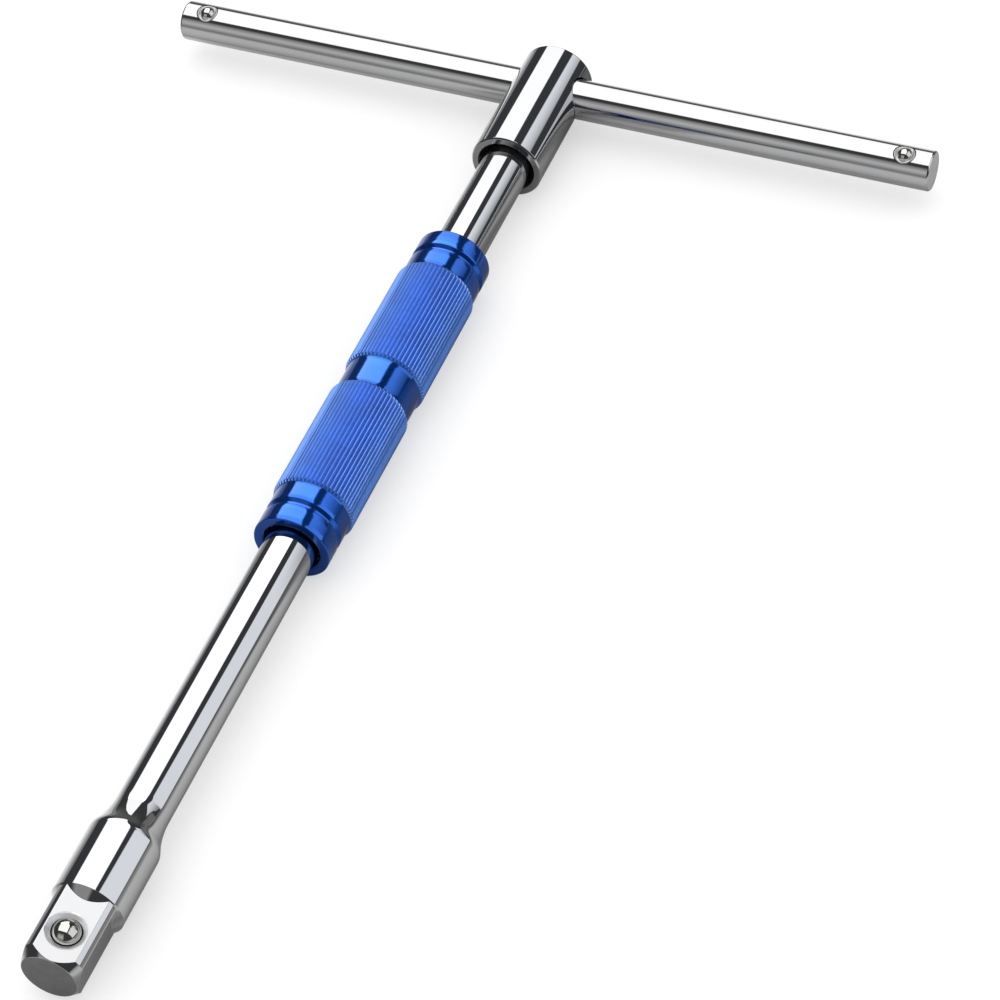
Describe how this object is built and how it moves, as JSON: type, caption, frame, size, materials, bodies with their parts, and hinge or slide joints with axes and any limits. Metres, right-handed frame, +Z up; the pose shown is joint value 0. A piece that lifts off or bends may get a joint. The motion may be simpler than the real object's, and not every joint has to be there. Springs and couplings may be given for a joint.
{
  "type": "sliding t-handle socket wrench",
  "caption": "T-shaped socket driver: chromed shank with a ball-sprung square drive, a sliding cross bar through a round head, and a free-spinning ribbed grip sleeve.",
  "frame": {"origin": "centre of the drive square's flat end face", "axes": "+Y along the shank from the drive end to the head, +X along the cross bar, +Z up, square to the plane of the T, with the tool lying flat and the balls facing up"},
  "size_m": [0.1986, 0.2885, 0.0194],
  "materials": {
    "chrome_plate": "bright chrome plating on turned steel",
    "blue_anodised": "bright blue anodised turned aluminium",
    "ball_steel": "polished bearing steel",
    "plunger_steel": "turned steel, bright",
    "spring_steel": "oiled spring steel",
    "black_plastic": "black acetal",
    "black_rubber": "black nitrile rubber"
  },
  "bodies": {
    "shank_assembly": {"shank": "chrome_plate", "head": "chrome_plate", "head_pin": "spring_steel", "lower_snap_ring": "spring_steel", "upper_snap_ring": "spring_steel", "lower_thrust_washer": "spring_steel", "upper_thrust_washer": "spring_steel", "drive_ball_spring": "spring_steel"},
    "grip_assembly": {"grip_sleeve": "blue_anodised", "lower_bush": "black_plastic", "upper_bush": "black_plastic"},
    "friction_ring": {"bar_friction_ring": "black_rubber"},
    "crossbar_assembly": {"crossbar": "chrome_plate", "left_plunger_body": "plunger_steel", "right_plunger_body": "plunger_steel", "left_ball_spring": "spring_steel", "right_ball_spring": "spring_steel"},
    "drive_ball": {"drive_ball": "ball_steel"},
    "left_ball": {"left_ball": "ball_steel"},
    "right_ball": {"right_ball": "ball_steel"}
  },
  "joints": [
    {"name": "grip_spin", "type": "hinge", "parent": "shank_assembly", "child": "grip_assembly", "pos_m": [0, 0.16965, 0], "axis": [0, 1, 0], "continuous": true},
    {"name": "bar_turn", "type": "hinge", "parent": "shank_assembly", "child": "friction_ring", "pos_m": [0, 0.2806, 0], "axis": [1, 0, 0], "continuous": true},
    {"name": "bar_slide", "type": "slide", "parent": "friction_ring", "child": "crossbar_assembly", "axis": [1, 0, 0], "range_m": [-0.081, 0.081]},
    {"name": "drive_ball_press", "type": "slide", "parent": "shank_assembly", "child": "drive_ball", "axis": [-0.2164, 0, -0.9763], "range_m": [0, 0.0019], "stiffness_N_per_m": 300, "springref_m": -0.002, "deforming": ["drive_ball_spring"]},
    {"name": "left_ball_press", "type": "slide", "parent": "crossbar_assembly", "child": "left_ball", "axis": [0, 0.2079, -0.9781], "range_m": [0, 0.0009], "stiffness_N_per_m": 60, "springref_m": -0.002, "deforming": ["left_ball_spring"]},
    {"name": "right_ball_press", "type": "slide", "parent": "crossbar_assembly", "child": "right_ball", "axis": [0, 0.2079, -0.9781], "range_m": [0, 0.0009], "stiffness_N_per_m": 60, "springref_m": -0.002, "deforming": ["right_ball_spring"]}
  ]
}
